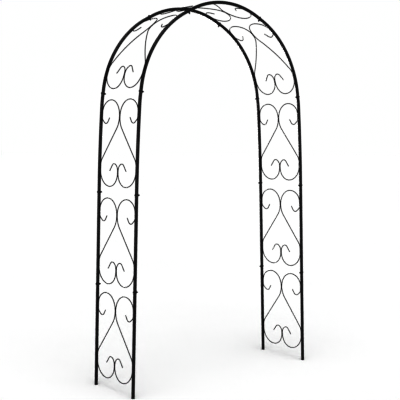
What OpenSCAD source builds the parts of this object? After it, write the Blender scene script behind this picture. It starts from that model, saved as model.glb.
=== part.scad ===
// Garden trellis arch, bolted together from nine ladder panels of bent steel tube and scroll wire.
// Millimetres. X runs across the span, Y through the depth and Z up.
// The origin is on the ground, midway between the four feet.

/* [Arch] */
// Overall height above the ground
arch_height = 2300; // [2000:5:2600]
// Distance between the front and the back hoop, centre to centre
hoop_spacing = 380; // [300:5:500]
// Bend radius of the three crown panels
crown_radius = 593; // [500:1:700]
// Bend angle of the left and the right crown panel
crown_sweep = 55; // [50:0.1:57]
// Bend angle of the top crown panel
top_sweep = 52.9; // [50:0.1:56]
// Straight tube left at each side of a crown joint
joint_straight = 22; // [20:1:40]
// Inward lean of the straight lower legs
leg_lean = 1.6; // [0:0.1:3]
// Extra lean that the bowed upper leg gains over its length
leg_bow = 2.4; // [0:0.1:5]
// Length of the bowed part of the leg
bow_length = 500; // [300:10:510]

/* [Tube] */
// Outside diameter of the hoop tube
tube_d = 19; // [16:0.5:25]
// Wall thickness of the hoop tube
tube_wall = 1; // [0.8:0.1:2]
// Length of the reduced end that plugs into the next tube
spigot_length = 42; // [30:1:60]
// Length of the taper from full size to the reduced end
swage_taper = 3; // [2:0.5:8]
// Radial play between a reduced end and the tube around it
spigot_play = 0.1; // [0.05:0.05:0.3]
// Gap left between two joined tubes
seam_gap = 0.3; // [0.2:0.1:1]
// Distance from a seam to the bolt that pins it
bolt_from_seam = 22; // [15:1:30]

/* [Joint heights] */
// Height of the lowest bolt on the left leg
left_low_bolt = 610; // [580:1:620]
// Height of the middle bolt on the left leg
left_mid_bolt = 1161; // [1150:1:1180]
// Height of the lowest bolt on the right leg
right_low_bolt = 590; // [580:1:620]
// Height of the middle bolt on the right leg
right_mid_bolt = 1169; // [1150:1:1180]

/* [Fasteners] */
// Shank diameter of the cross bolts
bolt_d = 6; // [5:0.5:8]
// Bolt length under the head
bolt_length = 30; // [26:1:40]
// Diameter of the domed bolt head
bolt_head_d = 13; // [10:0.5:16]
// Height of the domed bolt head
bolt_head_h = 4; // [3:0.5:6]
// Width of the nut across its flats
nut_flats = 10; // [8:0.5:13]
// Thickness of the nut
nut_h = 5; // [4:0.5:6.5]
// Radial play of a bolt in the tube holes
hole_play = 0.3; // [0.2:0.1:1]

/* [Foot caps] */
// Thickness of the flange under each tube
cap_flange = 3; // [2:0.5:6]
// Length of the plug inside the tube
cap_plug = 18; // [10:1:30]
// Ribs around the plug
cap_ribs = 3; // [1:1:5]

/* [Scroll] */
// Diameter of the scroll wire
wire_d = 5; // [4:0.5:8]
// Gap at the welded contacts
weld_gap = 0.05; // [0.02:0.01:0.2]
// Bottom of the scroll above the ground on the lowest panels
scroll_low_z = 65; // [50:1:90]
// Bottom of the scroll above the ground on the middle panels
scroll_mid_z = 625; // [600:1:650]
// Bottom of the scroll above the ground on the upper leg panels
scroll_high_z = 1199; // [1180:1:1230]
// Distance along the hoop from a crown panel's first joint to its scroll
scroll_crown_offset = 25; // [20:1:60]

/* [Scroll upper hook] */
// Straight at the tip
upper_tip = 26; // [5:1:50]
// Radius of the hook
upper_hook_r = 25; // [12:1:40]
// Bend of the hook
upper_hook_bend = 96; // [60:1:120]
// Straight between the hook and the tube
upper_return = 20; // [5:1:40]
// Radius where the wire meets the tube
upper_meet_r = 24; // [10:1:60]
// Bend where the wire meets the tube
upper_meet_bend = 51; // [30:1:75]
// Length welded to the tube
upper_weld = 28; // [10:1:60]

/* [Scroll lobe] */
// Radius of the lobe beside the tube
lobe_outer_r = 66; // [40:1:90]
// Bend of the lobe beside the tube
lobe_outer_bend = 48; // [20:1:70]
// Radius of the lobe beside its twin
lobe_inner_r = 99; // [60:1:140]
// Bend of the lobe beside its twin
lobe_inner_bend = 32; // [20:1:60]
// Length welded to the twin scroll
lobe_weld = 5; // [1:1:40]

/* [Scroll sweep] */
// Upper radius of the long sweep
sweep_top_r = 111; // [40:1:160]
// Lower radius of the long sweep
sweep_bottom_r = 60; // [30:1:160]
// Angle between the sweep and the tube on the leg panels
sweep_bend = 38.4; // [30:0.1:50]
// Angle between the sweep and the tube on the longer scrolls of the crown
crown_sweep_bend = 33.2; // [31:0.1:50]
// Length welded to the tube under the sweep
sweep_weld = 35; // [10:1:80]

/* [Scroll lower loop] */
// Radius of the loop beside the tube
loop_outer_r = 73; // [40:1:100]
// Bend of the loop beside the tube
loop_outer_bend = 23.5; // [10:0.5:60]
// Radius of the loop beside its twin
loop_inner_r = 79; // [40:1:120]
// Bend of the loop beside its twin
loop_inner_bend = 94; // [40:1:110]
// Length welded to the twin scroll
loop_weld = 13; // [5:1:60]
// Radius where the lower hook leaves its twin
lower_leave_r = 43; // [20:1:80]
// Bend where the lower hook leaves its twin
lower_leave_bend = 67; // [30:1:90]
// Radius of the lower hook
lower_hook_r = 24.5; // [12:0.5:40]
// Bend of the lower hook
lower_hook_bend = 76; // [40:1:110]
// Straight at the tip
lower_tip = 41; // [5:1:60]

/* [Hidden] */
$fn = 64;
front = -1;
back = 1;
coat = [0.06, 0.06, 0.065];
steel = [0.16, 0.16, 0.17];
plastic = [0.09, 0.09, 0.09];
tube_r = tube_d / 2;
bore_r = tube_r - tube_wall;
spigot_r = bore_r - spigot_play;
wall_mid_r = tube_r - tube_wall / 2;
collar_length = 3;
wire_r = wire_d / 2;
sweep_sides = 8;
bend_error = 0.35;
curve_step = 45;
trim = 0.02;
lap = 0.05;
seat_gap = 0.02;
eps = 0.01;

// Hoop from the left foot over the crown to the right foot, as a bend table.
// [radius, angle] is a bend towards the inside of the arch, [0, length] is a straight.
bow_radius = bow_length * 180 / (PI * leg_bow);
shoulder_bend = 90 - leg_lean - leg_bow - crown_sweep - top_sweep / 2;
half_crown = [
  [bow_radius, leg_bow],
  [crown_radius, shoulder_bend],
  [0, 2 * joint_straight],
  [crown_radius, crown_sweep],
  [0, 2 * joint_straight],
  [crown_radius, top_sweep / 2]
];
crown_end = end_pose(half_crown, [0, 0, 90 - leg_lean], -1);
leg_length = (arch_height - tube_r - crown_end[1]) / cos(leg_lean);
foot_x = crown_end[0] + leg_length * sin(leg_lean);
hoop = [
  [0, leg_length],
  [bow_radius, leg_bow],
  [crown_radius, shoulder_bend],
  [0, 2 * joint_straight],
  [crown_radius, crown_sweep],
  [0, 2 * joint_straight],
  [crown_radius, top_sweep],
  [0, 2 * joint_straight],
  [crown_radius, crown_sweep],
  [0, 2 * joint_straight],
  [crown_radius, shoulder_bend],
  [bow_radius, leg_bow],
  [0, leg_length]
];
hoop_start = [-foot_x, 0, 90 - leg_lean];
hoop_length = table_length(hoop);

// Distance along the hoop to each of the eight bolted joints.
joint_s = [
  left_low_bolt / cos(leg_lean),
  left_mid_bolt / cos(leg_lean),
  table_length(hoop, 3) + joint_straight,
  table_length(hoop, 5) + joint_straight,
  table_length(hoop, 7) + joint_straight,
  table_length(hoop, 9) + joint_straight,
  hoop_length - right_mid_bolt / cos(leg_lean),
  hoop_length - right_low_bolt / cos(leg_lean)
];

// Where each panel's scroll starts on the hoop, and which way its lobes point along it.
scroll_s = [
  scroll_low_z / cos(leg_lean),
  scroll_mid_z / cos(leg_lean),
  scroll_high_z / cos(leg_lean),
  joint_s[2] + scroll_crown_offset,
  joint_s[3] + scroll_crown_offset,
  joint_s[5] - scroll_crown_offset,
  hoop_length - scroll_high_z / cos(leg_lean),
  hoop_length - scroll_mid_z / cos(leg_lean),
  hoop_length - scroll_low_z / cos(leg_lean)
];
scroll_way = [1, 1, 1, 1, 1, -1, -1, -1, -1];

// Scroll as a bend table from the upper hook's tip to the lower hook's tip.
// A positive angle turns left and a negative one right.
tube_contact = hoop_spacing / 2 - tube_r - wire_r - weld_gap;
twin_contact = wire_r + weld_gap;
reach = tube_contact - twin_contact;
lobe_top_bend = 180 - lobe_outer_bend - lobe_inner_bend;
lobe_top_r = bridging_radius(lobe_outer_r, lobe_outer_bend, lobe_inner_r, lobe_inner_bend);
loop_low_bend = 180 - loop_outer_bend - loop_inner_bend;
loop_low_r = bridging_radius(loop_outer_r, loop_outer_bend, loop_inner_r, loop_inner_bend);
upper_hook = [
  [0, upper_tip],
  [upper_hook_r, -upper_hook_bend],
  [0, upper_return],
  [upper_meet_r, -upper_meet_bend]
];

// Radius that joins two bends into a half turn from the tube to the twin.
function bridging_radius(r0, bend0, r1, bend1) =
  (reach - r0 * (1 - cos(bend0)) - r1 * (1 - cos(bend1))) / (cos(bend0) + cos(bend1));

// Straight of the sweep, which crosses from the twin back to the tube.
function sweep_length(bend) =
  (reach - (sweep_top_r + sweep_bottom_r) * (1 - cos(bend))) / sin(bend);

function scroll_body(bend) = [
  [0, upper_weld],
  [lobe_outer_r, -lobe_outer_bend],
  [lobe_top_r, -lobe_top_bend],
  [lobe_inner_r, -lobe_inner_bend],
  [0, lobe_weld],
  [sweep_top_r, -bend],
  [0, sweep_length(bend)],
  [sweep_bottom_r, bend],
  [0, sweep_weld],
  [loop_outer_r, loop_outer_bend],
  [loop_low_r, loop_low_bend],
  [loop_inner_r, loop_inner_bend],
  [0, loop_weld],
  [lower_leave_r, lower_leave_bend],
  [lower_hook_r, lower_hook_bend],
  [0, lower_tip]
];

hook_heading = 90 + upper_hook_bend + upper_meet_bend;
hook_end = end_pose(upper_hook, [0, 0, hook_heading]);
low_bend = 10; // row of the body that rounds its lowest point

// Height of the scroll's first tube contact above its lowest point.
function body_height(body) =
  loop_low_r * (1 - sin(loop_outer_bend))
  - end_pose([for (i = [0 : low_bend - 1]) body[i]], [0, 0, 90])[1];

// A scroll as [bend table, start pose], with its lowest point at y = 0.
function scroll(bend) =
  let (body = scroll_body(bend))
  [
    concat(upper_hook, body),
    [-tube_contact - hook_end[0], body_height(body) - hook_end[1], hook_heading]
  ];
leg_scroll = scroll(sweep_bend);
crown_scroll = scroll(crown_sweep_bend);

// ---- Bend tables. A pose is [x, y, heading]. ----

function segment_length(segment) =
  segment[0] == 0 ? segment[1] : segment[0] * abs(segment[1]) * PI / 180;

function table_length(table, count = -1, i = 0) =
  i == (count < 0 ? len(table) : count)
    ? 0
    : segment_length(table[i]) + table_length(table, count, i + 1);

// Pose after travelling a distance along one segment. way = -1 turns positive angles to the right.
function travel(pose, segment, distance, way = 1) =
  segment[0] == 0
    ? [pose[0] + distance * cos(pose[2]), pose[1] + distance * sin(pose[2]), pose[2]]
    : turn_pose(pose, segment[0], distance / segment[0] * 180 / PI, way * sign(segment[1]));

function turn_pose(pose, radius, angle, side) = [
  pose[0] + side * radius * (sin(pose[2] + side * angle) - sin(pose[2])),
  pose[1] - side * radius * (cos(pose[2] + side * angle) - cos(pose[2])),
  pose[2] + side * angle
];

function end_pose(table, pose, way = 1, i = 0) =
  i == len(table)
    ? pose
    : end_pose(table, travel(pose, table[i], segment_length(table[i]), way), way, i + 1);

function pose_at(table, pose, distance, way = 1, i = 0) =
  i == len(table) - 1 || distance <= segment_length(table[i])
    ? travel(pose, table[i], distance, way)
    : pose_at(
        table, travel(pose, table[i], segment_length(table[i]), way),
        distance - segment_length(table[i]), way, i + 1
      );

function hoop_pose(s) = pose_at(hoop, hoop_start, s, -1);

// ---- Placing things on the hoop ----

// Local Z runs along the hoop towards the right foot, local X points into the arch.
module on_hoop(s) {
  pose = hoop_pose(s);
  translate([pose[0], 0, pose[1]])
    rotate([0, 90 - pose[2], 0])
      children();
}

// A length of the hoop between two distances, with the child as its cross-section.
// Neighbouring pieces stop a hair short of each other, and collars bridge them.
module along_hoop(s0, s1) {
  for (i = [0 : len(hoop) - 1]) {
    start = table_length(hoop, i);
    from = max(s0, start + trim);
    to = min(s1, start + segment_length(hoop[i]) - trim);
    if (to - from > 1) {
      on_hoop(from) {
        if (hoop[i][0] == 0) {
          linear_extrude(to - from) children();
        } else {
          translate([hoop[i][0], 0, 0])
            rotate([90, 0, 180])
              rotate_extrude(angle = (to - from) / hoop[i][0] * 180 / PI, $fn = 180)
                translate([hoop[i][0], 0])
                  children();
        }
      }
    }
  }
}

module tube_section() {
  difference() {
    circle(tube_r);
    circle(bore_r);
  }
}

// Thin ring in the wall where a tube's bend begins or ends.
module collar() {
  translate([0, 0, -collar_length / 2])
    linear_extrude(collar_length)
      difference() {
        circle(wall_mid_r);
        circle(bore_r - lap);
      }
}

// Reduced end of a tube, drawn along +Z from the end of the full-size tube.
module spigot() {
  root = 2;
  shoulder_r = tube_r - 2 * lap;
  lead_in = [0.6, 1];
  rotate_extrude()
    polygon([
      [bore_r - lap, -root],
      [wall_mid_r, -root],
      [shoulder_r, eps],
      [spigot_r, swage_taper],
      [spigot_r, spigot_length - lead_in[1]],
      [spigot_r - lead_in[0], spigot_length],
      [spigot_r - tube_wall, spigot_length],
      [spigot_r - tube_wall, swage_taper]
    ]);
}

// ---- Tubes ----

// Joint before and after each panel. The lowest panels stand on a foot cap instead.
function low_seam(i) = joint_s[i - 1] - bolt_from_seam + swage_taper + seam_gap;
function high_seam(i) = joint_s[i] + bolt_from_seam - swage_taper - seam_gap;
function tube_from(i) = i == 0 ? cap_flange : i < 5 ? low_seam(i) : joint_s[i - 1] + bolt_from_seam;
function tube_to(i) =
  i == 8 ? hoop_length - cap_flange : i > 3 ? high_seam(i) : joint_s[i] - bolt_from_seam;

// Panels 0 to 3 plug in at their far end, panels 5 to 8 at their near end, the top one at neither.
module hoop_tube(i, side) {
  translate([0, side * hoop_spacing / 2, 0]) {
    difference() {
      union() {
        along_hoop(tube_from(i), tube_to(i)) tube_section();
        for (k = [1 : len(hoop) - 1]) {
          bend_end = table_length(hoop, k);
          if (bend_end > tube_from(i) + collar_length && bend_end < tube_to(i) - collar_length) {
            on_hoop(bend_end) collar();
          }
        }
        if (i < 4) {
          on_hoop(tube_to(i)) spigot();
        }
        if (i > 4) {
          on_hoop(tube_from(i)) rotate([180, 0, 0]) spigot();
        }
      }
      if (i > 0) {
        bolt_hole(joint_s[i - 1]);
      }
      if (i < 8) {
        bolt_hole(joint_s[i]);
      }
    }
  }
}

module bolt_hole(s) {
  on_hoop(s)
    rotate([0, 90, 0])
      cylinder(r = bolt_d / 2 + hole_play, h = 2 * tube_d, center = true);
}

// ---- Scrolls ----

// Distances along a scroll's bend table to the rings of its swept skin.
function scroll_stations(table, longest) = [
  for (i = [0 : len(table) - 1])
    let (length = segment_length(table[i]))
    let (by_bend = table[i][0] == 0 ? 1 : length / sqrt(8 * bend_error * table[i][0]))
    let (count = ceil(max(by_bend, length / longest)))
    for (k = [0 : count - 1])
      table_length(table, i) + length * k / count
];

function scroll_path(wire, longest) = [
  for (d = concat(scroll_stations(wire[0], longest), [table_length(wire[0])]))
    pose_at(wire[0], wire[1], d)
];

section_r = wire_r * sqrt(2 * PI / (sweep_sides * sin(360 / sweep_sides)));
straight_leg_path = scroll_path(leg_scroll, hoop_length);
bowed_leg_path = scroll_path(leg_scroll, curve_step);
crown_path = scroll_path(crown_scroll, curve_step);

// Point on the wire's skin: p is a pose on the flat scroll, q the hoop's pose beside it.
function skin_point(p, q, way, side, angle) =
  let (across = -side * (p[0] - section_r * cos(angle) * sin(p[2])))
  let (along = way * section_r * cos(angle) * cos(p[2]))
  let (out = section_r * sin(angle))
  [
    q[0] + along * cos(q[2]) - out * sin(q[2]),
    across,
    q[1] + along * sin(q[2]) + out * cos(q[2])
  ];

// Scroll of one panel, following the same curve as its tubes.
module panel_scroll(i, side) {
  way = scroll_way[i];
  path = i < 2 || i > 6 ? straight_leg_path : i == 2 || i == 6 ? bowed_leg_path : crown_path;
  rings = len(path);
  n = sweep_sides;
  points = [
    for (p = path)
      let (q = hoop_pose(scroll_s[i] + way * p[1]))
      for (k = [0 : n - 1])
        skin_point(p, q, way, side, 360 * (k + 0.5) / n)
  ];
  walls = [
    for (j = [0 : rings - 2])
      for (k = [0 : n - 1])
        [j * n + k, j * n + (k + 1) % n, (j + 1) * n + (k + 1) % n, (j + 1) * n + k]
  ];
  near_end = [for (k = [n - 1 : -1 : 0]) k];
  far_end = [for (k = [0 : n - 1]) (rings - 1) * n + k];
  faces = concat(walls, [near_end, far_end]);
  flip = way * side > 0;
  polyhedron(points, flip ? [for (f = faces) [for (k = [len(f) - 1 : -1 : 0]) f[k]]] : faces);
}

// ---- Fasteners ----

// Both hoops' bolts or nuts at one joint. Local Z points into the arch.
module at_joint(i) {
  for (side = [front, back])
    translate([0, side * hoop_spacing / 2, 0])
      on_hoop(joint_s[i])
        rotate([0, 90, 0])
          children();
}

module joint_bolts(i) {
  at_joint(i) bolt();
}

module joint_nuts(i) {
  at_joint(i) nut();
}

// Domed head outside the arch, pointed end inside it.
module bolt() {
  under_head = -tube_r - seat_gap;
  shank_r = bolt_d / 2 - lap;
  point = 1;
  dome_r = (pow(bolt_head_d / 2, 2) + pow(bolt_head_h, 2)) / (2 * bolt_head_h);
  intersection() {
    translate([0, 0, under_head - bolt_head_h + dome_r])
      sphere(dome_r);
    translate([0, 0, under_head - bolt_head_h])
      cylinder(r = bolt_head_d, h = bolt_head_h);
  }
  translate([0, 0, under_head - eps])
    cylinder(r = shank_r, h = bolt_length - point);
  translate([0, 0, under_head - eps + bolt_length - point])
    cylinder(r1 = shank_r, r2 = shank_r - point, h = point);
}

module nut() {
  corner_r = nut_flats / sqrt(3);
  chamfered_r = corner_r - 0.5;
  translate([0, 0, tube_r + seat_gap])
    difference() {
      intersection() {
        cylinder(r = corner_r, h = nut_h, $fn = 6);
        cylinder(r1 = corner_r + nut_h, r2 = chamfered_r, h = nut_h);
        cylinder(r1 = chamfered_r, r2 = corner_r + nut_h, h = nut_h);
      }
      cylinder(r = bolt_d / 2, h = 3 * nut_h, center = true);
    }
}

// ---- Foot caps ----

// Plug with a flange that the tube stands on, cut level with the ground.
module foot_cap(s, side) {
  translate([0, side * hoop_spacing / 2, 0])
    intersection() {
      on_hoop(s)
        rotate([s > 0 ? 180 : 0, 0, 0])
          cap_body();
      translate([-foot_x - tube_d, -tube_d, 0])
        cube([2 * (foot_x + tube_d), 2 * tube_d, 3 * tube_d]);
    }
}

module cap_body() {
  plug_r = bore_r - 0.5;
  below_ground = 1;
  nose = 2;
  rib_h = 1;
  translate([0, 0, -below_ground])
    cylinder(r = tube_r, h = below_ground + cap_flange - lap);
  cylinder(r = plug_r, h = cap_flange + cap_plug - nose);
  translate([0, 0, cap_flange + cap_plug - nose])
    cylinder(r1 = plug_r, r2 = plug_r - nose, h = nose);
  for (k = [1 : cap_ribs])
    translate([0, 0, cap_flange + k * (cap_plug - nose - rib_h) / (cap_ribs + 1)])
      cylinder(r = bore_r - lap, h = rib_h);
}

// ---- Sub-parts ----

module left_lower_tube_front() {
  color(coat) hoop_tube(0, front);
}

module left_lower_tube_back() {
  color(coat) hoop_tube(0, back);
}

module left_lower_scroll_front() {
  color(coat) panel_scroll(0, front);
}

module left_lower_scroll_back() {
  color(coat) panel_scroll(0, back);
}

module left_middle_tube_front() {
  color(coat) hoop_tube(1, front);
}

module left_middle_tube_back() {
  color(coat) hoop_tube(1, back);
}

module left_middle_scroll_front() {
  color(coat) panel_scroll(1, front);
}

module left_middle_scroll_back() {
  color(coat) panel_scroll(1, back);
}

module left_upper_tube_front() {
  color(coat) hoop_tube(2, front);
}

module left_upper_tube_back() {
  color(coat) hoop_tube(2, back);
}

module left_upper_scroll_front() {
  color(coat) panel_scroll(2, front);
}

module left_upper_scroll_back() {
  color(coat) panel_scroll(2, back);
}

module left_crown_tube_front() {
  color(coat) hoop_tube(3, front);
}

module left_crown_tube_back() {
  color(coat) hoop_tube(3, back);
}

module left_crown_scroll_front() {
  color(coat) panel_scroll(3, front);
}

module left_crown_scroll_back() {
  color(coat) panel_scroll(3, back);
}

module top_crown_tube_front() {
  color(coat) hoop_tube(4, front);
}

module top_crown_tube_back() {
  color(coat) hoop_tube(4, back);
}

module top_crown_scroll_front() {
  color(coat) panel_scroll(4, front);
}

module top_crown_scroll_back() {
  color(coat) panel_scroll(4, back);
}

module right_crown_tube_front() {
  color(coat) hoop_tube(5, front);
}

module right_crown_tube_back() {
  color(coat) hoop_tube(5, back);
}

module right_crown_scroll_front() {
  color(coat) panel_scroll(5, front);
}

module right_crown_scroll_back() {
  color(coat) panel_scroll(5, back);
}

module right_upper_tube_front() {
  color(coat) hoop_tube(6, front);
}

module right_upper_tube_back() {
  color(coat) hoop_tube(6, back);
}

module right_upper_scroll_front() {
  color(coat) panel_scroll(6, front);
}

module right_upper_scroll_back() {
  color(coat) panel_scroll(6, back);
}

module right_middle_tube_front() {
  color(coat) hoop_tube(7, front);
}

module right_middle_tube_back() {
  color(coat) hoop_tube(7, back);
}

module right_middle_scroll_front() {
  color(coat) panel_scroll(7, front);
}

module right_middle_scroll_back() {
  color(coat) panel_scroll(7, back);
}

module right_lower_tube_front() {
  color(coat) hoop_tube(8, front);
}

module right_lower_tube_back() {
  color(coat) hoop_tube(8, back);
}

module right_lower_scroll_front() {
  color(coat) panel_scroll(8, front);
}

module right_lower_scroll_back() {
  color(coat) panel_scroll(8, back);
}

module left_low_bolts() {
  color(steel) joint_bolts(0);
}

module left_mid_bolts() {
  color(steel) joint_bolts(1);
}

module left_high_bolts() {
  color(steel) joint_bolts(2);
}

module left_top_bolts() {
  color(steel) joint_bolts(3);
}

module right_top_bolts() {
  color(steel) joint_bolts(4);
}

module right_high_bolts() {
  color(steel) joint_bolts(5);
}

module right_mid_bolts() {
  color(steel) joint_bolts(6);
}

module right_low_bolts() {
  color(steel) joint_bolts(7);
}

module left_low_nuts() {
  color(steel) joint_nuts(0);
}

module left_mid_nuts() {
  color(steel) joint_nuts(1);
}

module left_high_nuts() {
  color(steel) joint_nuts(2);
}

module left_top_nuts() {
  color(steel) joint_nuts(3);
}

module right_top_nuts() {
  color(steel) joint_nuts(4);
}

module right_high_nuts() {
  color(steel) joint_nuts(5);
}

module right_mid_nuts() {
  color(steel) joint_nuts(6);
}

module right_low_nuts() {
  color(steel) joint_nuts(7);
}

module left_foot_cap_front() {
  color(plastic) foot_cap(0, front);
}

module left_foot_cap_back() {
  color(plastic) foot_cap(0, back);
}

module right_foot_cap_front() {
  color(plastic) foot_cap(hoop_length, front);
}

module right_foot_cap_back() {
  color(plastic) foot_cap(hoop_length, back);
}

left_lower_tube_front();
left_lower_tube_back();
left_lower_scroll_front();
left_lower_scroll_back();
left_middle_tube_front();
left_middle_tube_back();
left_middle_scroll_front();
left_middle_scroll_back();
left_upper_tube_front();
left_upper_tube_back();
left_upper_scroll_front();
left_upper_scroll_back();
left_crown_tube_front();
left_crown_tube_back();
left_crown_scroll_front();
left_crown_scroll_back();
top_crown_tube_front();
top_crown_tube_back();
top_crown_scroll_front();
top_crown_scroll_back();
right_crown_tube_front();
right_crown_tube_back();
right_crown_scroll_front();
right_crown_scroll_back();
right_upper_tube_front();
right_upper_tube_back();
right_upper_scroll_front();
right_upper_scroll_back();
right_middle_tube_front();
right_middle_tube_back();
right_middle_scroll_front();
right_middle_scroll_back();
right_lower_tube_front();
right_lower_tube_back();
right_lower_scroll_front();
right_lower_scroll_back();
left_low_bolts();
left_mid_bolts();
left_high_bolts();
left_top_bolts();
right_top_bolts();
right_high_bolts();
right_mid_bolts();
right_low_bolts();
left_low_nuts();
left_mid_nuts();
left_high_nuts();
left_top_nuts();
right_top_nuts();
right_high_nuts();
right_mid_nuts();
right_low_nuts();
left_foot_cap_front();
left_foot_cap_back();
right_foot_cap_front();
right_foot_cap_back();
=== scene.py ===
"""Garden trellis arch: fine tubes, scroll wire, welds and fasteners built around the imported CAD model.

The hoop and the scroll are bend tables: [radius, angle] is a bend and [0, length] a straight, as in
the CAD source. Tables, radii and lengths are in millimetres and degrees. Meshes are made in metres,
and the studio's sizes and places are in metres too.
"""
import math

import bmesh
import bpy
import numpy as np
from mathutils import Euler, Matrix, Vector


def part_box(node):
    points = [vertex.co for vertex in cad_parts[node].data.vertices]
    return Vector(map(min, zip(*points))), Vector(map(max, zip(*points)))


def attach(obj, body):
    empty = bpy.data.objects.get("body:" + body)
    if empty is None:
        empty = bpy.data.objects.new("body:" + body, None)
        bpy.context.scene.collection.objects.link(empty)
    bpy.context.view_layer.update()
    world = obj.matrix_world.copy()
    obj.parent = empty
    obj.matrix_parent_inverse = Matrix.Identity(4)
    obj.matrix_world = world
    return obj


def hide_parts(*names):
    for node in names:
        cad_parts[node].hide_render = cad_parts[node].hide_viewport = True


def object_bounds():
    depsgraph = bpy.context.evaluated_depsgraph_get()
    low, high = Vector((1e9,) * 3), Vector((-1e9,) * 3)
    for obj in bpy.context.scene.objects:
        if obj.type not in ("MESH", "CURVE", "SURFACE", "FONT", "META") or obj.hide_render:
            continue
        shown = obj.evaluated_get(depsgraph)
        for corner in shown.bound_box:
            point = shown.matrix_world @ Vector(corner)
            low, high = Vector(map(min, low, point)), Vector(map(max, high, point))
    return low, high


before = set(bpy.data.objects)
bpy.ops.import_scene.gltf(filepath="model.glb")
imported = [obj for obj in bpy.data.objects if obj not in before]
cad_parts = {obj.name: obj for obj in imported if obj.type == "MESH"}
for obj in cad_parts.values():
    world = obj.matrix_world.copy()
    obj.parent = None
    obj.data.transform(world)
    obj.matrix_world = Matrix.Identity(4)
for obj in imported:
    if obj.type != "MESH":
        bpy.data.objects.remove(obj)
cad_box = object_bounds()

MM = 0.001
FRONT, BACK = -1, 1
SIDES = {"front": FRONT, "back": BACK}
PANELS = [
    "left_lower", "left_middle", "left_upper", "left_crown", "top_crown",
    "right_crown", "right_upper", "right_middle", "right_lower",
]
TOP_PANEL = PANELS.index("top_crown")
LAST_PANEL = len(PANELS) - 1
JOINTS = [
    "left_low", "left_mid", "left_high", "left_top",
    "right_top", "right_high", "right_mid", "right_low",
]


# ---- Sizes read from the CAD frame ----

def box_mm(node):
    low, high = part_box(node)
    return np.array(low) / MM, np.array(high) / MM


foot_low, foot_high = box_mm("left_lower_tube_front")
TUBE_R = (foot_high[1] - foot_low[1]) / 2
HOOP_Y = -(foot_high[1] + foot_low[1]) / 2
ARCH_HEIGHT = cad_box[1].z / MM

# ---- Hoop, the same bends as the CAD ----

LEG_LEAN = 1.6
LEG_BOW = 2.4
BOW_LENGTH = 500
CROWN_R = 593
CROWN_SWEEP = 55
TOP_SWEEP = 52.9
JOINT_STRAIGHT = 22
BOLT_HEIGHTS = {"left_low": 610, "left_mid": 1161, "right_mid": 1169, "right_low": 590}

# ---- Tube ends ----

TUBE_WALL = 1.0
SPIGOT_PLAY = 0.1
SPIGOT_LENGTH = 42
SWAGE_TAPER = 3
SEAM_GAP = 0.3
BOLT_FROM_SEAM = 22

# ---- Foot caps ----

CAP_FLANGE = 3
CAP_PLUG = 18
CAP_NOSE = 2
CAP_RIBS = 3
CAP_RIB_H = 1

# ---- Scroll ----

WIRE_R = 2.5
WELD_GAP = 0.05
SCROLL_HEIGHTS = [65, 625, 1199]
SCROLL_CROWN_OFFSET = 25

# ---- Fasteners ----

BOLT_R = 3.0
BOLT_LENGTH = 30
BOLT_HEAD_R = 6.5
BOLT_HEAD_H = 4.0
THREAD_PITCH = 1.0
THREAD_DEPTH = 0.45
NUT_FLATS = 10
NUT_H = 5
# Radians from one bolt's angle to the next one's, and how far a nut turns for each radian of its bolt.
TURN_STEP = 2.4
NUT_TURN_RATIO = 1.3


# ---- Bend tables. A pose is (x, y, heading in degrees). ----

def length_of(bend):
    return bend[1] if bend[0] == 0 else bend[0] * math.radians(abs(bend[1]))


def table_length(table, count=None):
    return sum(length_of(bend) for bend in table[:count])


def travel(pose, bend, distance, way=1):
    """Pose after a distance along one bend. way = -1 turns positive angles to the right."""
    x, y, heading = pose
    if bend[0] == 0:
        a = math.radians(heading)
        return (x + distance * math.cos(a), y + distance * math.sin(a), heading)
    side = way * math.copysign(1, bend[1])
    turned = heading + side * math.degrees(distance / bend[0])
    a, b = math.radians(heading), math.radians(turned)
    return (
        x + side * bend[0] * (math.sin(b) - math.sin(a)),
        y - side * bend[0] * (math.cos(b) - math.cos(a)),
        turned,
    )


def end_pose(table, pose, way=1):
    for bend in table:
        pose = travel(pose, bend, length_of(bend), way)
    return pose


def pose_at(table, pose, distance, way=1):
    for bend in table[:-1]:
        if distance <= length_of(bend):
            return travel(pose, bend, distance, way)
        pose = travel(pose, bend, length_of(bend), way)
        distance -= length_of(bend)
    return travel(pose, table[-1], distance, way)


def stations(table, start, end, turn_step, straight_step):
    """Distances for the rings of a sweep: closer together in bends than in straights."""
    found = []
    at = 0.0
    for bend in table:
        length = length_of(bend)
        first, last = max(start, at), min(end, at + length)
        if last > first:
            if bend[0] == 0:
                step = straight_step
            else:
                step = min(straight_step, bend[0] * math.radians(turn_step))
            count = max(1, math.ceil((last - first) / step))
            found += [first + (last - first) * k / count for k in range(count)]
        at += length
    return found + [end]


def cos_d(angle):
    return math.cos(math.radians(angle))


def sin_d(angle):
    return math.sin(math.radians(angle))


# ---- The hoop ----

BOW_R = BOW_LENGTH / math.radians(LEG_BOW)
SHOULDER = 90 - LEG_LEAN - LEG_BOW - CROWN_SWEEP - TOP_SWEEP / 2
straight = [0, 2 * JOINT_STRAIGHT]
side_bend = [CROWN_R, CROWN_SWEEP]
bowed_leg = [[BOW_R, LEG_BOW], [CROWN_R, SHOULDER]]
half_crown = bowed_leg + [straight, side_bend, straight, [CROWN_R, TOP_SWEEP / 2]]
crown_end = end_pose(half_crown, (0, 0, 90 - LEG_LEAN), -1)
LEG_LENGTH = (ARCH_HEIGHT - TUBE_R - crown_end[1]) / cos_d(LEG_LEAN)
FOOT_X = crown_end[0] + LEG_LENGTH * sin_d(LEG_LEAN)

# From the left foot over the top to the right foot.
leg = [[0, LEG_LENGTH]] + bowed_leg
crown = [straight, side_bend, straight, [CROWN_R, TOP_SWEEP], straight, side_bend, straight]
HOOP = leg + crown + leg[::-1]
HOOP_START = (-FOOT_X, 0, 90 - LEG_LEAN)
HOOP_LENGTH = table_length(HOOP)


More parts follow.
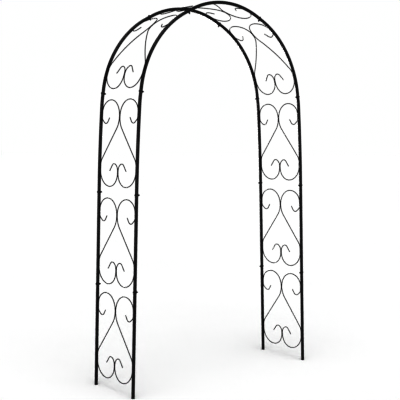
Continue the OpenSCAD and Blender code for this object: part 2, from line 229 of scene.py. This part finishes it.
def up_leg(height):
    """Distance along the hoop to a height on the straight part of the left leg."""
    return height / cos_d(LEG_LEAN)


# The crown's straights in the hoop's table. Each has a joint in its middle.
CROWN_JOINT_BENDS = [3, 5, 7, 9]
JOINT_S = [
    up_leg(BOLT_HEIGHTS["left_low"]),
    up_leg(BOLT_HEIGHTS["left_mid"]),
    *(table_length(HOOP, bend) + JOINT_STRAIGHT for bend in CROWN_JOINT_BENDS),
    HOOP_LENGTH - up_leg(BOLT_HEIGHTS["right_mid"]),
    HOOP_LENGTH - up_leg(BOLT_HEIGHTS["right_low"]),
]
# Where each scroll's foot stands on the hoop, and which way along the hoop the scroll rises from it.
leg_scroll_s = [up_leg(height) for height in SCROLL_HEIGHTS]
SCROLL_S = leg_scroll_s + [
    JOINT_S[2] + SCROLL_CROWN_OFFSET,
    JOINT_S[3] + SCROLL_CROWN_OFFSET,
    JOINT_S[5] - SCROLL_CROWN_OFFSET,
] + [HOOP_LENGTH - s for s in leg_scroll_s[::-1]]
SCROLL_WAY = [1, 1, 1, 1, 1, -1, -1, -1, -1]


class HoopFrame:
    """Place on the hoop's centre surface: along is its direction, inward points into the arch."""

    def __init__(self, s, y=0.0):
        x, z, heading = pose_at(HOOP, HOOP_START, s, -1)
        self.origin = np.array([x, y, z])
        self.along = np.array([cos_d(heading), 0, sin_d(heading)])
        self.inward = np.array([sin_d(heading), 0, -cos_d(heading)])
        self.across = np.array([0, 1.0, 0])

    def point(self, along=0.0, inward=0.0, across=0.0):
        return (
            self.origin + along * self.along + inward * self.inward + across * self.across
        )


# ---- The scroll, from the upper hook's tip to the lower hook's tip. + turns left. ----

TUBE_CONTACT = HOOP_Y - TUBE_R - WIRE_R - WELD_GAP
TWIN_CONTACT = WIRE_R + WELD_GAP
REACH = TUBE_CONTACT - TWIN_CONTACT
UPPER_HOOK = [[0, 26], [25, -96], [0, 20], [24, -51]]
LOBE_OUTER, LOBE_INNER = [66, 48], [99, 32]
SWEEP_TOP_R, SWEEP_BOTTOM_R = 111, 60
LEG_SWEEP_BEND, CROWN_SWEEP_BEND = 38.4, 33.2
LOOP_OUTER, LOOP_INNER = [73, 23.5], [79, 94]
LOWER_HOOK = [[43, 67], [24.5, 76], [0, 41]]
# Straights welded to the tube or to the twin, from the top down.
UPPER_WELD, LOBE_WELD, SWEEP_WELD, LOOP_WELD = 28, 5, 35, 13


def joining_bend(outer, inner):
    """The bend that carries the wire from an outer to an inner bend over the whole reach."""
    angle = 180 - outer[1] - inner[1]
    used = outer[0] * (1 - cos_d(outer[1])) + inner[0] * (1 - cos_d(inner[1]))
    return [(REACH - used) / (cos_d(outer[1]) + cos_d(inner[1])), angle]


def right(bend):
    return [bend[0], -bend[1]]


def scroll_wire(sweep_bend):
    """One scroll as a bend table and a start pose, with its lowest point at y = 0."""
    lobe_top = joining_bend(LOBE_OUTER, LOBE_INNER)
    loop_low = joining_bend(LOOP_OUTER, LOOP_INNER)
    drop = (SWEEP_TOP_R + SWEEP_BOTTOM_R) * (1 - cos_d(sweep_bend))
    down_to_loop = [
        [0, UPPER_WELD],
        right(LOBE_OUTER), right(lobe_top), right(LOBE_INNER),
        [0, LOBE_WELD],
        [SWEEP_TOP_R, -sweep_bend],
        [0, (REACH - drop) / sin_d(sweep_bend)],
        [SWEEP_BOTTOM_R, sweep_bend],
        [0, SWEEP_WELD],
        LOOP_OUTER,
    ]
    heading = 90 - sum(bend[1] for bend in UPPER_HOOK if bend[0] > 0)
    hook_end = end_pose(UPPER_HOOK, (0, 0, heading))
    loop_end = end_pose(down_to_loop, (0, 0, 90))
    lowest = loop_end[1] - loop_low[0] * (1 - sin_d(LOOP_OUTER[1]))
    table = UPPER_HOOK + down_to_loop + [loop_low, LOOP_INNER, [0, LOOP_WELD]] + LOWER_HOOK
    return table, (-TUBE_CONTACT - hook_end[0], -lowest - hook_end[1], heading)


LEG_SCROLL = scroll_wire(LEG_SWEEP_BEND)
CROWN_SCROLL = scroll_wire(CROWN_SWEEP_BEND)


def scroll_of(i):
    return CROWN_SCROLL if PANELS[i].endswith("crown") else LEG_SCROLL


# ---- Sides of the round meshes ----

TUBE_SIDES = 40
WIRE_SIDES = 16
BEAD_SIDES = 14
HEAD_SIDES = 96
THREAD_SIDES = 32
NUT_SIDES = 72
CAP_SIDES = 48
FLOOR_SIDES = 96


# ---- Mesh making ----

def circle_angles(count):
    return np.arange(count) * 2 * math.pi / count


def circle_points(count):
    angle = circle_angles(count)
    return np.stack([np.cos(angle), np.sin(angle)], axis=1)


def skin(rings, looped=False):
    """Vertices and faces of a skin through equal rings. It is closed by end faces, or into a loop."""
    rings = np.asarray(rings, float)
    m, n, _ = rings.shape
    spans = m if looped else m - 1
    j, k = np.meshgrid(np.arange(spans), np.arange(n), indexing="ij")
    j2, k2 = (j + 1) % m, (k + 1) % n
    quads = np.stack([j * n + k, j * n + k2, j2 * n + k2, j2 * n + k], axis=-1)
    faces = quads.reshape(-1, 4).tolist()
    if not looped:
        faces.append(list(range(n))[::-1])
        faces.append(list(range((m - 1) * n, m * n)))
    return rings.reshape(-1, 3), faces


def make_object(name, shells, material, crease=35):
    """One mesh object from (vertices in millimetres, faces) shells, shaded smooth up to a crease."""
    vertices, faces, first = [], [], 0
    for points, polygons in shells:
        vertices.append(points)
        faces += [[first + i for i in polygon] for polygon in polygons]
        first += len(points)
    mesh = bpy.data.meshes.new(name)
    mesh.from_pydata((np.concatenate(vertices) * MM).tolist(), [], faces)
    work = bmesh.new()
    work.from_mesh(mesh)
    bmesh.ops.recalc_face_normals(work, faces=work.faces)
    work.to_mesh(mesh)
    work.free()
    mesh.polygons.foreach_set("use_smooth", [True] * len(mesh.polygons))
    mesh.set_sharp_from_angle(angle=math.radians(crease))
    mesh.materials.append(material)
    obj = bpy.data.objects.new(name, mesh)
    bpy.context.scene.collection.objects.link(obj)
    return obj


def add_piece(name, shells, material, replaced=None, crease=35):
    obj = make_object(name, shells, material, crease)
    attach(obj, "root")
    if replaced:
        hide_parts(replaced)
    return obj


# ---- Tubes ----

def tube_span(i):
    """Where panel i's full-size tube starts and ends along the hoop."""
    lip = SWAGE_TAPER + SEAM_GAP
    if i == 0:
        start = CAP_FLANGE
    elif i <= TOP_PANEL:
        start = JOINT_S[i - 1] - BOLT_FROM_SEAM + lip
    else:
        start = JOINT_S[i - 1] + BOLT_FROM_SEAM
    if i == LAST_PANEL:
        end = HOOP_LENGTH - CAP_FLANGE
    elif i >= TOP_PANEL:
        end = JOINT_S[i] + BOLT_FROM_SEAM - lip
    else:
        end = JOINT_S[i] - BOLT_FROM_SEAM
    return start, end


def end_profile(kind):
    """Outer then inner wall at a tube's end, as (distance past the end, radius), outermost last."""
    bore = TUBE_R - TUBE_WALL
    if kind == "cut":
        outer = [(-0.9, TUBE_R), (-0.45, TUBE_R - 0.03), (-0.12, TUBE_R - 0.16), (0, TUBE_R - 0.4)]
        inner = [(0, bore + 0.15), (-0.3, bore)]
        return outer, inner
    neck = bore - SPIGOT_PLAY
    outer = [
        (-1.2, TUBE_R), (-0.5, TUBE_R - 0.02), (0.1, TUBE_R - 0.12), (0.7, TUBE_R - 0.35),
        (2.2, neck + 0.22), (SWAGE_TAPER, neck + 0.04), (SWAGE_TAPER + 1, neck),
        (SPIGOT_LENGTH - 0.8, neck), (SPIGOT_LENGTH - 0.2, neck - 0.2), (SPIGOT_LENGTH, neck - 0.5),
    ]
    inner = [
        (SPIGOT_LENGTH, neck - TUBE_WALL), (SWAGE_TAPER, neck - TUBE_WALL), (-2, bore),
    ]
    return outer, inner


def tube_shell(i, side):
    """Closed skin of one panel's tube: outer wall one way and inner wall back."""
    start, end = tube_span(i)
    outer0, inner0 = end_profile("spigot" if i > TOP_PANEL else "cut")
    outer1, inner1 = end_profile("spigot" if i < TOP_PANEL else "cut")
    margin = 3
    middle = stations(HOOP, start + margin, end - margin, turn_step=1.2, straight_step=25)
    profile = [(start - d, r) for d, r in outer0[::-1]]
    profile += [(s, TUBE_R) for s in middle]
    profile += [(end + d, r) for d, r in outer1]
    profile += [(end + d, r) for d, r in inner1]
    profile += [(s, TUBE_R - TUBE_WALL) for s in middle[::-1]]
    profile += [(start - d, r) for d, r in inner0[::-1]]
    around = circle_points(TUBE_SIDES)
    rings = []
    for s, r in profile:
        place = HoopFrame(s, side * HOOP_Y)
        rings.append([place.point(0, r * c, r * d) for c, d in around])
    return skin(rings, looped=True)


# ---- Scroll wire ----

def scroll_surface(i, side, pose):
    """Hoop frame at a scroll pose, the point's place across it, and the wire's side direction."""
    x, y, heading = pose
    place = HoopFrame(SCROLL_S[i] + SCROLL_WAY[i] * y)
    across = -side * x
    sideways = side * sin_d(heading) * place.across + SCROLL_WAY[i] * cos_d(heading) * place.along
    return place, across, sideways


def scroll_shell(i, side):
    """Round wire swept along the scroll, with rounded cut ends."""
    table, start = scroll_of(i)
    total = table_length(table)
    rounding = [(0, 1.7), (0.12, 2.05), (0.35, 2.3), (0.8, 2.47)]
    margin = 1.6
    middle = stations(table, margin, total - margin, turn_step=4, straight_step=10)
    profile = rounding + [(s, WIRE_R) for s in middle] + [(total - d, r) for d, r in rounding[::-1]]
    around = circle_points(WIRE_SIDES)
    rings = []
    for s, r in profile:
        place, across, sideways = scroll_surface(i, side, pose_at(table, start, s))
        centre = place.point(across=across)
        rings.append([centre + r * (c * sideways + d * place.inward) for c, d in around])
    return skin(rings)


# ---- Welds ----

# By what the scroll is welded to: the welded bends of its table, the scrolls that have a bead of their
# own there, and each bead's length, distance from the wire's middle, height and width.
WELD_BENDS = {"tube": [4, 12], "twin": [8, 16]}
WELD_SIDES = {"tube": [FRONT, BACK], "twin": [FRONT]}
BEAD_SIZES = {"tube": (13, 2.15, 1.25, 1.55), "twin": (9, 1.75, 1.15, 1.6)}
TUBE_BEAD_ACROSS = HOOP_Y - TUBE_R - 0.45
WELDS = [
    (kind, bend, side)
    for kind in WELD_BENDS for bend in WELD_BENDS[kind] for side in WELD_SIDES[kind]
]


def bead_shell(centre, along, thick, wide, length, height, width, seed):
    """Weld bead: a long lump with the ripples of its run, which seed shifts. thick points out of it."""
    rings = []
    around = circle_points(BEAD_SIDES)
    steps = 26
    tip = 0.995
    for k in range(steps + 1):
        u = -tip + 2 * tip * k / steps
        body = (1 - abs(u) ** 2.6) ** 0.5
        ripple = 1 + 0.07 * math.sin(8.5 * u * math.pi + seed) + 0.03 * math.sin(3.1 * u + 2 * seed)
        drift = 0.12 * math.sin(2.3 * u + 1.7 * seed)
        middle = centre + u * length / 2 * along + drift * wide
        rings.append([
            middle + body * ripple * (c * height * thick + d * width * wide) for c, d in around
        ])
    return skin(rings)


def panel_welds(i):
    """Every bead of one panel, on both faces of each contact."""
    table, start = scroll_of(i)
    shells = []
    seed = 1.0 + i
    for face in (-1, 1):
        for kind, bend, side in WELDS:
            length, out, height, width = BEAD_SIZES[kind]
            middle = table_length(table, bend) + length_of(table[bend]) / 2
            place, _, _ = scroll_surface(i, side, pose_at(table, start, middle))
            across = side * TUBE_BEAD_ACROSS if kind == "tube" else 0
            centre = place.point(inward=face * out, across=across)
            seed += 1.9
            shells.append(bead_shell(
                centre, place.along, place.inward, place.across, length, height, width, seed,
            ))
    return shells


# ---- Fasteners. Turned about the bolt's axis, which points into the arch. ----

def smooth_step(x):
    x = np.clip(x, 0, 1)
    return x * x * (3 - 2 * x)


def turned_ring(at, height, radius, around):
    """Ring about the bolt's axis. Height and radius are one number, or one for each angle."""
    heights = np.broadcast_to(height, around.shape)
    radii = np.broadcast_to(radius, around.shape)
    return [
        at.point(r * math.cos(a), h, r * math.sin(a)) for a, h, r in zip(around, heights, radii)
    ]


def recess_depth(r, angle):
    """Depth of the cross recess in the head, at polar points about its centre."""
    arm_reach, arm_half_width, core_r, depth = 2.75, 0.62, 1.35, 1.75
    x, y = abs(r * np.cos(angle)), abs(r * np.sin(angle))
    long_way, narrow_way = np.maximum(x, y), np.minimum(x, y)
    arm_side = smooth_step((arm_half_width - narrow_way) / 0.22)
    arm_end = smooth_step((arm_reach - long_way) / 0.3)
    in_core = smooth_step((core_r - np.hypot(x, y)) / 0.3)
    floor = depth * (1 - 0.32 * np.clip(r / arm_reach, 0, 1))
    return floor * np.maximum(arm_side * arm_end, in_core)


def bolt_head(at, turn):
    """Domed head with a rolled rim and a cross recess."""
    base = -TUBE_R
    dome_r = (BOLT_HEAD_R ** 2 + BOLT_HEAD_H ** 2) / (2 * BOLT_HEAD_H)
    around = circle_angles(HEAD_SIDES)
    recess_radii = np.linspace(0.04, 3.2, 26)
    dome_radii = np.linspace(3.45, BOLT_HEAD_R - 0.35, 9)
    rings = []
    for r in (*recess_radii, *dome_radii):
        dome = BOLT_HEAD_H - dome_r + math.sqrt(dome_r ** 2 - r ** 2)
        rings.append(turned_ring(at, base - dome + recess_depth(r, around + turn), r, around))
    for h, r in ((-0.55, 6.4), (-0.3, 6.48), (-0.1, 6.42), (0.0, 6.2), (0.0, BOLT_R + 0.2)):
        rings.append(turned_ring(at, base + h, r, around))
    return skin(rings)


def bolt_shank(at):
    """Plain shank inside the tube, then a real helical thread out to the pointed end."""
    base = -TUBE_R
    tip = base + BOLT_LENGTH
    thread_from, thread_to = TUBE_R - 1.5, tip - 1.0
    rings_per_turn = 10
    around = circle_angles(THREAD_SIDES)
    rings = [turned_ring(at, h, BOLT_R, around) for h in (base - 0.05, thread_from - 0.5)]
    steps = int((thread_to - thread_from) / (THREAD_PITCH / rings_per_turn))
    for k in range(steps + 1):
        h = thread_from + (thread_to - thread_from) * k / steps
        phase = (h / THREAD_PITCH - around / (2 * math.pi)) % 1
        wave = np.clip(abs(2 * phase - 1) * 1.5 - 0.25, 0, 1)
        rings.append(turned_ring(at, h, BOLT_R - THREAD_DEPTH * (1 - wave), around))
    for below_tip, r in ((0.9, 2.5), (0.25, 2.05), (0.05, 1.9), (0, 1.6)):
        rings.append(turned_ring(at, tip - below_tip, r, around))
    return skin(rings)


def nut_shell(at, turn):
    """Hexagon nut, chamfered at both faces, with a countersunk bore."""
    low = TUBE_R + 0.02
    high = low + NUT_H
    bore, countersink = BOLT_R - 0.05, 0.35
    around = circle_angles(NUT_SIDES)
    hexagon = NUT_FLATS / 2 / np.cos((around + turn) % (math.pi / 3) - math.pi / 6)
    flat_r = NUT_FLATS / 2 - 0.1

    def face_ring(reach, lower):
        """One ring on a face: reach 0 is the countersink's rim and 1 the hexagon's edge."""
        r = bore + countersink + (hexagon - bore - countersink) * reach
        drop = np.maximum(0, r - flat_r) * math.tan(math.radians(30))
        return turned_ring(at, low + drop if lower else high - drop, r, around)

    reaches = [0, 0.4, 0.7, 0.85, 0.93, 1]
    wall_heights = [low + 0.9, low + 1.6, high - 1.6, high - 0.9]
    rings = [face_ring(reach, True) for reach in reaches]
    rings += [turned_ring(at, h, hexagon, around) for h in wall_heights]
    rings += [face_ring(reach, False) for reach in reaches[::-1]]
    rings += [turned_ring(at, h, bore, around) for h in (high - countersink, low + countersink)]
    return skin(rings, looped=True)


# ---- Foot caps ----

def foot_cap_shell(side, left):
    """Moulded plug: a flange cut level with the ground, and ribs that grip inside the tube."""
    start = 0 if left else HOOP_LENGTH
    way = 1 if left else -1
    plug_r, rib_r, flange_r = TUBE_R - TUBE_WALL - 0.5, TUBE_R - TUBE_WALL - 0.08, TUBE_R
    around = circle_points(CAP_SIDES)
    rings = []
    sole = [
        (0, 0.6), (0, flange_r - 0.7), (0.1, flange_r - 0.3), (0.35, flange_r - 0.07),
        (0.8, flange_r), (1.6, flange_r),
    ]
    place = HoopFrame(start, side * HOOP_Y)
    for height, r in sole:
        ring = []
        for c, d in around:
            point = place.point(0, r * c, r * d)
            ring.append(point + place.along * (height - point[2]) / place.along[2])
        rings.append(ring)
    rib_step = (CAP_PLUG - CAP_NOSE - CAP_RIB_H) / (CAP_RIBS + 1)
    body = [(2.6, flange_r), (2.85, flange_r - 0.05), (2.95, flange_r - 0.25), (2.95, plug_r)]
    for rib in range(CAP_RIBS):
        at = CAP_FLANGE + rib_step * (rib + 1)
        body += [(at, plug_r), (at + 0.3, rib_r), (at + 0.8, rib_r), (at + 1.1, plug_r)]
    tip = CAP_FLANGE + CAP_PLUG
    body += [(tip - CAP_NOSE, plug_r), (tip, plug_r - 1.5), (tip, 0.6)]
    for distance, r in body:
        place = HoopFrame(start + way * distance, side * HOOP_Y)
        rings.append([place.point(0, r * c, r * d) for c, d in around])
    return skin(rings)


# ---- Materials ----

class Nodes:
    """A material's node tree, with short calls for adding and joining nodes."""

    # The colour sockets of a Mix node, whose names the other kinds of mix share.
    MIX_FACTOR, MIX_A, MIX_B, MIX_RESULT = 0, 6, 7, 2

    def __init__(self, name):
        self.material = bpy.data.materials.new(name)
        self.material.use_nodes = True
        self.tree = self.material.node_tree
        self.tree.nodes.clear()
        self.output = self.add("ShaderNodeOutputMaterial")
        self.shader = self.add("ShaderNodeBsdfPrincipled")
        self.join(self.shader, "BSDF", self.output, "Surface")
        self.coords = self.add("ShaderNodeTexCoord")

    def add(self, kind, **values):
        node = self.tree.nodes.new(kind)
        for key, value in values.items():
            if key in node.inputs:
                node.inputs[key].default_value = value
            else:
                setattr(node, key, value)
        return node

    def join(self, node, out, other, into):
        self.tree.links.new(node.outputs[out], other.inputs[into])

    def noise(self, scale, detail=3, roughness=0.5, offset=(0, 0, 0), stretch=(1, 1, 1)):
        place = self.add("ShaderNodeMapping", Location=offset, Scale=stretch)
        self.join(self.coords, "Object", place, "Vector")
        node = self.add("ShaderNodeTexNoise", Scale=scale, Detail=detail, Roughness=roughness)
        self.join(place, "Vector", node, "Vector")
        return node

    def ramp(self, source, out, low, high):
        """Colour ramp between two stops, each a (position, colour) pair."""
        node = self.add("ShaderNodeValToRGB")
        for stop, (at, colour) in zip(node.color_ramp.elements, (low, high)):
            stop.position = at
            stop.color = (*colour, 1)
        self.join(source, out, node, "Fac")
        return node

    def grey_ramp(self, source, out, low, high):
        return self.ramp(source, out, *((at, (v, v, v)) for at, v in (low, high)))

    def mix(self, factor, factor_out, source, colour):
        """Mix from a ramp's colour to one plain colour. Its result is output MIX_RESULT."""
        node = self.add("ShaderNodeMix", data_type="RGBA")
        self.join(factor, factor_out, node, self.MIX_FACTOR)
        self.join(source, "Color", node, self.MIX_A)
        node.inputs[self.MIX_B].default_value = (*colour, 1)
        return node

    def multiply(self, a, a_out, b, b_out):
        node = self.add("ShaderNodeMath", operation="MULTIPLY")
        self.join(a, a_out, node, 0)
        self.join(b, b_out, node, 1)
        return node

    def bump(self, source, out, distance, strength=1.0, below=None):
        node = self.add("ShaderNodeBump", Distance=distance, Strength=strength)
        self.join(source, out, node, "Height")
        if below:
            self.join(below, "Normal", node, "Normal")
        return node


def powder_coat(name, peel_scale, colour, lighter):
    """Baked black powder coat: fine orange peel, uneven sheen, a few dust specks in the skin."""
    n = Nodes(name)
    cloud = n.noise(9, detail=4, roughness=0.6)
    shade = n.ramp(cloud, "Fac", (0.32, colour), (0.72, lighter))
    specks = n.noise(520, detail=1, offset=(3.1, 1.7, 0.4))
    dust = n.grey_ramp(specks, "Fac", (0.72, 0.0), (0.79, 0.55))
    mixed = n.mix(dust, "Color", shade, (0.050, 0.050, 0.053))
    n.join(mixed, n.MIX_RESULT, n.shader, "Base Color")
    sheen = n.noise(34, detail=5, roughness=0.62, offset=(0.3, 5.2, 1.1))
    n.join(n.grey_ramp(sheen, "Fac", (0.3, 0.24), (0.7, 0.36)), "Color", n.shader, "Roughness")
    peel = n.noise(peel_scale, detail=2, roughness=0.45)
    grain = n.noise(peel_scale * 4.2, detail=2, roughness=0.6, offset=(1.2, 0.5, 2.3))
    soft = n.bump(peel, "Fac", 0.00016, 0.55)
    fine = n.bump(grain, "Fac", 0.00003, 0.5, below=soft)
    n.join(fine, "Normal", n.shader, "Normal")
    n.shader.inputs["IOR"].default_value = 1.46
    n.shader.inputs["Specular IOR Level"].default_value = 0.36
    return n.material


def black_fastener(name):
    """Blackened steel: streaked oxide, with bare metal showing on the rubbed edges."""
    n = Nodes(name)
    cloud = n.noise(210, detail=4, roughness=0.65)
    oxide = n.ramp(cloud, "Fac", (0.3, (0.018, 0.018, 0.019)), (0.7, (0.040, 0.040, 0.043)))
    shape = n.add("ShaderNodeNewGeometry")
    edge = n.grey_ramp(shape, "Pointiness", (0.535, 0.0), (0.6, 1.0))
    patches = n.noise(640, detail=3, offset=(0.7, 2.1, 0.2))
    broken = n.grey_ramp(patches, "Fac", (0.44, 0.0), (0.6, 0.6))
    worn = n.multiply(edge, "Color", broken, "Color")
    mixed = n.mix(worn, "Value", oxide, (0.15, 0.147, 0.143))
    n.join(mixed, n.MIX_RESULT, n.shader, "Base Color")
    n.join(n.grey_ramp(cloud, "Fac", (0.3, 0.34), (0.75, 0.52)), "Color", n.shader, "Roughness")
    scratch = n.noise(900, detail=2, stretch=(1, 1, 0.2), offset=(0.1, 0.9, 0.6))
    n.join(n.bump(scratch, "Fac", 0.00004, 0.4), "Normal", n.shader, "Normal")
    n.shader.inputs["Metallic"].default_value = 0.55
    return n.material


def moulded_plastic(name):
    """Black moulded plastic: a fine spark-eroded grain and scuffs near the ground."""
    n = Nodes(name)
    cloud = n.noise(60, detail=4)
    base = n.ramp(cloud, "Fac", (0.3, (0.010, 0.010, 0.010)), (0.75, (0.017, 0.017, 0.0165)))
    place = n.add("ShaderNodeSeparateXYZ")
    n.join(n.coords, "Object", place, "Vector")
    scuffed_to = 0.0022
    low = n.add(
        "ShaderNodeMapRange",
        **{"From Min": 0.0, "From Max": scuffed_to, "To Min": 1.0, "To Max": 0.0},
    )
    n.join(place, "Z", low, "Value")
    grit = n.noise(420, detail=5, roughness=0.7, offset=(0.4, 0.2, 4.0))
    patch = n.grey_ramp(grit, "Fac", (0.46, 0.0), (0.68, 1.0))
    scuff = n.multiply(low, "Result", patch, "Color")
    mixed = n.mix(scuff, "Value", base, (0.09, 0.085, 0.078))
    n.join(mixed, n.MIX_RESULT, n.shader, "Base Color")
    n.join(n.grey_ramp(cloud, "Fac", (0.3, 0.5), (0.7, 0.66)), "Color", n.shader, "Roughness")
    grain = n.noise(2400, detail=2, roughness=0.6)
    n.join(n.bump(grain, "Fac", 0.00005, 0.6), "Normal", n.shader, "Normal")
    return n.material


def studio_floor(name):
    """Pale matt studio floor with a barely visible roller texture."""
    n = Nodes(name)
    cloud = n.noise(0.9, detail=4)
    tone = n.grey_ramp(cloud, "Fac", (0.3, 0.874), (0.7, 0.884))
    n.join(tone, "Color", n.shader, "Base Color")
    n.join(n.grey_ramp(cloud, "Fac", (0.3, 0.86), (0.7, 0.94)), "Color", n.shader, "Roughness")
    roller = n.noise(240, detail=3)
    n.join(n.bump(roller, "Fac", 0.0002, 0.2), "Normal", n.shader, "Normal")
    n.shader.inputs["Specular IOR Level"].default_value = 0.0
    return n.material


# ---- Building the arch ----

def build_arch():
    tube_coat = powder_coat(
        "tube_coat", peel_scale=420, colour=(0.020, 0.020, 0.0214), lighter=(0.030, 0.030, 0.032)
    )
    wire_coat = powder_coat(
        "wire_coat", peel_scale=620, colour=(0.012, 0.012, 0.0128), lighter=(0.020, 0.020, 0.0214)
    )
    fastener = black_fastener("fastener_black")
    plastic = moulded_plastic("cap_plastic")
    for i, panel in enumerate(PANELS):
        for word, side in SIDES.items():
            tube = f"{panel}_tube_{word}"
            add_piece("fine_" + tube, [tube_shell(i, side)], tube_coat, tube)
            scroll = f"{panel}_scroll_{word}"
            add_piece("fine_" + scroll, [scroll_shell(i, side)], wire_coat, scroll)
        add_piece(f"{panel}_weld_beads", panel_welds(i), wire_coat, crease=60)
    for i, joint in enumerate(JOINTS):
        bolts, nuts = [], []
        for k, side in enumerate(SIDES.values()):
            at = HoopFrame(JOINT_S[i], side * HOOP_Y)
            turn = TURN_STEP * (2 * i + k)
            bolts += [bolt_head(at, turn), bolt_shank(at)]
            nuts.append(nut_shell(at, NUT_TURN_RATIO * turn))
        for shells, kind in ((bolts, "bolts"), (nuts, "nuts")):
            node = f"{joint}_{kind}"
            add_piece("fine_" + node, shells, fastener, node)
    for foot in ("left", "right"):
        for word, side in SIDES.items():
            node = f"{foot}_foot_cap_{word}"
            shell = foot_cap_shell(side, foot == "left")
            add_piece("fine_" + node, [shell], plastic, node)


# ---- Studio ----

def build_floor():
    """Round floor: a centre face, and rings out to a radius of 60 m."""
    around = circle_points(FLOOR_SIDES)
    rings = [[[r * c, r * d, 0] for c, d in around] for r in (0.5, 1, 2, 4, 8, 16, 32, 60)]
    points, faces = skin(np.array(rings) / MM)
    floor = make_object("studio_floor", [(points, faces[:-1])], studio_floor("floor_matt"))
    if floor.data.polygons[0].normal.z < 0:
        floor.data.flip_normals()


def aim(obj, target):
    obj.rotation_euler = (Vector(target) - obj.location).to_track_quat("-Z", "Y").to_euler()


def add_light(name, kind, location, target, energy, **values):
    data = bpy.data.lights.new(name, kind)
    data.energy = energy
    for key, value in values.items():
        setattr(data, key, value)
    light = bpy.data.objects.new(name, data)
    light.location = location
    bpy.context.scene.collection.objects.link(light)
    aim(light, target)
    return light


def add_soft_box(name, location, energy):
    """Tall narrow box that draws a line of sheen down each tube and leaves the floor alone."""
    box = add_light(
        name, "AREA", location, (0, 0, 1.2), energy, shape="RECTANGLE", size=0.9, size_y=4.0
    )
    box.visible_diffuse = False


def build_lights():
    """High soft sun for an even floor, and soft boxes around the arch."""
    add_light("high_soft_light", "SUN", (-1.6, -2.4, 7), (0, 0, 0), 2.7, angle=math.radians(50))
    add_soft_box("left_box", (-6.0, -2.2, 2.1), 210)
    add_soft_box("right_box", (2.6, -6.4, 2.1), 170)
    add_soft_box("back_box", (3.5, 5.6, 2.1), 170)


def build_world():
    """White surround: full for the camera, dimmer for the light that it gives."""
    light_strength, camera_strength = 0.35, 1.0
    world = bpy.data.worlds.new("studio")
    bpy.context.scene.world = world
    world.use_nodes = True
    tree = world.node_tree
    tree.nodes.clear()
    path = tree.nodes.new("ShaderNodeLightPath")
    mix = tree.nodes.new("ShaderNodeMixShader")
    out = tree.nodes.new("ShaderNodeOutputWorld")
    tree.links.new(path.outputs["Is Camera Ray"], mix.inputs[0])
    for strength, socket in ((light_strength, mix.inputs[1]), (camera_strength, mix.inputs[2])):
        surround = tree.nodes.new("ShaderNodeBackground")
        surround.inputs["Color"].default_value = (1, 1, 1, 1)
        surround.inputs["Strength"].default_value = strength
        tree.links.new(surround.outputs[0], socket)
    tree.links.new(mix.outputs[0], out.inputs["Surface"])


def build_camera():
    """Standing height, well back, looking across the arch from its front left."""
    yaw, pitch = 39.815, -4.212
    data = bpy.data.cameras.new("camera")
    data.sensor_width = 36
    data.lens = 81.62
    data.clip_end = 200
    camera = bpy.data.objects.new("camera", data)
    camera.location = (-3.6501, -4.3316, 1.5094)
    camera.rotation_euler = Euler((math.radians(90 + pitch), 0, math.radians(-yaw)))
    bpy.context.scene.collection.objects.link(camera)
    bpy.context.scene.camera = camera


def set_film():
    """Contrast of a studio product picture: white ground, thin dark lines kept dark."""
    view = bpy.context.scene.view_settings
    view.view_transform = "Standard"
    view.gamma = 0.45


build_camera()
build_arch()
build_floor()
build_lights()
build_world()
set_film()
